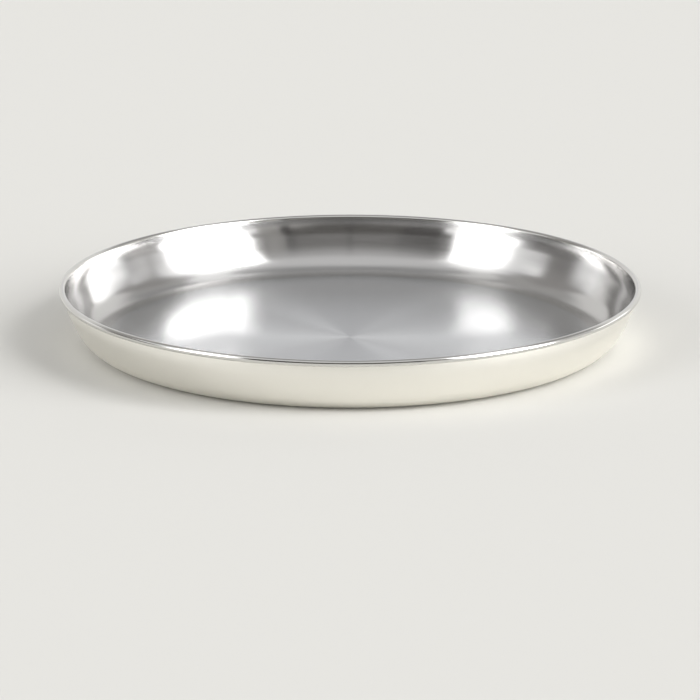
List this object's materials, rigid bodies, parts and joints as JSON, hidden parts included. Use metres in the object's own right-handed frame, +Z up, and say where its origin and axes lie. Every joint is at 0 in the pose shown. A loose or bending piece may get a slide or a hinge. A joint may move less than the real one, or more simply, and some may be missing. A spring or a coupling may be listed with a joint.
{
  "type": "thali plate",
  "caption": "Round flat-bottomed dining dish with a coved corner, a low flared wall and a rolled rim.",
  "frame": {"origin": "centre of the flat underside, on the table", "axes": "+Z up, along the plate's axis of revolution; X and Y lie in the table, the wire's butt joint is at +Y"},
  "size_m": [0.3, 0.3, 0.0296],
  "materials": {
    "sheet_steel": "polished inside with fine concentric buffing lines, soft satin outside",
    "wire_steel": "plain drawn wire"
  },
  "bodies": {
    "root": {"dish": "sheet_steel", "rim_wire": "wire_steel"}
  },
  "joints": []
}
